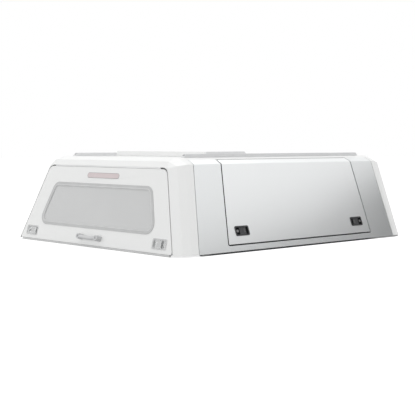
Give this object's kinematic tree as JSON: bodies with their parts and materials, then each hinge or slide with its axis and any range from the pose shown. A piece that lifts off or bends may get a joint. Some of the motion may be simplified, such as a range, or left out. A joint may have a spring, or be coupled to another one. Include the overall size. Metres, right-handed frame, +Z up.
{
  "type": "pickup truck canopy",
  "caption": "Pickup bed canopy, open underneath, with lean-in walls, lift-up side and rear doors on piano hinges, paddle latches, end windows and slotted roof rails.",
  "frame": {"origin": "centre of the whole part in plan, at the underside of the rubber that lies on the bed rails", "axes": "+X to the right side of the vehicle, +Y forward to the cab, +Z up"},
  "size_m": [1.6, 1.9811, 0.5555],
  "materials": {
    "white_paint": "satin",
    "silver_paint": "satin metallic",
    "seal_rubber": "matte",
    "frame_aluminium": "satin",
    "window_glass": "gloss",
    "light_lens": "gloss",
    "grey_plastic": "matte",
    "black_plastic": "matte"
  },
  "bodies": {
    "shell": {"roof_panel": "white_paint", "raised_roof_plate": "white_paint", "right_roof_rail": "grey_plastic", "left_roof_rail": "grey_plastic", "rear_header": "white_paint", "front_header": "white_paint", "rear_right_corner_post": "white_paint", "rear_left_corner_post": "white_paint", "front_right_corner_post": "white_paint", "front_left_corner_post": "white_paint", "right_side_panel": "silver_paint", "left_side_panel": "silver_paint", "front_wall": "white_paint", "front_window_seal": "seal_rubber", "front_window_glass": "window_glass", "base_frame": "frame_aluminium", "bed_seal": "seal_rubber", "right_door_seal": "seal_rubber", "left_door_seal": "seal_rubber", "rear_door_seal": "seal_rubber", "right_hinge_fixed_leaf": "frame_aluminium", "left_hinge_fixed_leaf": "frame_aluminium", "rear_hinge_fixed_leaf": "frame_aluminium"},
    "right_door_body": {"right_side_door": "silver_paint", "right_hinge_door_leaf": "frame_aluminium", "right_rear_latch_pan": "black_plastic", "right_front_latch_pan": "black_plastic"},
    "left_door_body": {"left_side_door": "silver_paint", "left_hinge_door_leaf": "frame_aluminium", "left_rear_latch_pan": "black_plastic", "left_front_latch_pan": "black_plastic"},
    "rear_door_body": {"rear_door": "white_paint", "rear_hinge_door_leaf": "frame_aluminium", "rear_window_seal": "seal_rubber", "rear_window_glass": "window_glass", "brake_light": "light_lens", "grab_handle": "grey_plastic", "rear_door_bottom_seal": "seal_rubber", "rear_left_latch_pan": "grey_plastic", "rear_right_latch_pan": "grey_plastic"},
    "right_rear_latch_paddle_body": {"right_rear_latch_paddle": "black_plastic"},
    "right_front_latch_paddle_body": {"right_front_latch_paddle": "black_plastic"},
    "rear_left_latch_paddle_body": {"rear_left_latch_paddle": "grey_plastic"},
    "rear_right_latch_paddle_body": {"rear_right_latch_paddle": "grey_plastic"},
    "left_rear_latch_paddle_body": {"left_rear_latch_paddle": "black_plastic"},
    "left_front_latch_paddle_body": {"left_front_latch_paddle": "black_plastic"}
  },
  "joints": [
    {"name": "right_door_hinge", "type": "hinge", "parent": "shell", "child": "right_door_body", "pos_m": [0.566, 0.08481, 0.509], "axis": [0, -1, 0], "range_deg": [0, 85]},
    {"name": "left_door_hinge", "type": "hinge", "parent": "shell", "child": "left_door_body", "pos_m": [-0.566, 0.08481, 0.509], "axis": [0, 1, 0], "range_deg": [0, 85]},
    {"name": "rear_door_hinge", "type": "hinge", "parent": "shell", "child": "rear_door_body", "pos_m": [0, -0.84242, 0.46701], "axis": [-1, 0, 0], "range_deg": [0, 85]},
    {"name": "right_rear_latch_pivot", "type": "hinge", "parent": "right_door_body", "child": "right_rear_latch_paddle_body", "pos_m": [0.75601, -0.48154, 0.11592], "axis": [0.3593, 0, -0.9332], "range_deg": [0, 35], "stiffness_Nm_per_rad": 0.3, "springref_deg": -11.46},
    {"name": "right_front_latch_pivot", "type": "hinge", "parent": "right_door_body", "child": "right_front_latch_paddle_body", "pos_m": [0.75601, 0.56046, 0.11592], "axis": [-0.3593, 0, 0.9332], "range_deg": [0, 35], "stiffness_Nm_per_rad": 0.3, "springref_deg": -11.46},
    {"name": "rear_left_latch_pivot", "type": "hinge", "parent": "rear_door_body", "child": "rear_left_latch_paddle_body", "pos_m": [-0.629, -0.94694, 0.06276], "axis": [0, -0.248, -0.9688], "range_deg": [0, 35], "stiffness_Nm_per_rad": 0.3, "springref_deg": -11.46},
    {"name": "rear_right_latch_pivot", "type": "hinge", "parent": "rear_door_body", "child": "rear_right_latch_paddle_body", "pos_m": [0.629, -0.94694, 0.06276], "axis": [0, 0.248, 0.9688], "range_deg": [0, 35], "stiffness_Nm_per_rad": 0.3, "springref_deg": -11.46},
    {"name": "left_rear_latch_pivot", "type": "hinge", "parent": "left_door_body", "child": "left_rear_latch_paddle_body", "pos_m": [-0.75601, -0.48154, 0.11592], "axis": [0.3593, 0, 0.9332], "range_deg": [0, 35], "stiffness_Nm_per_rad": 0.3, "springref_deg": -11.46},
    {"name": "left_front_latch_pivot", "type": "hinge", "parent": "left_door_body", "child": "left_front_latch_paddle_body", "pos_m": [-0.75601, 0.56046, 0.11592], "axis": [-0.3593, 0, -0.9332], "range_deg": [0, 35], "stiffness_Nm_per_rad": 0.3, "springref_deg": -11.46}
  ]
}
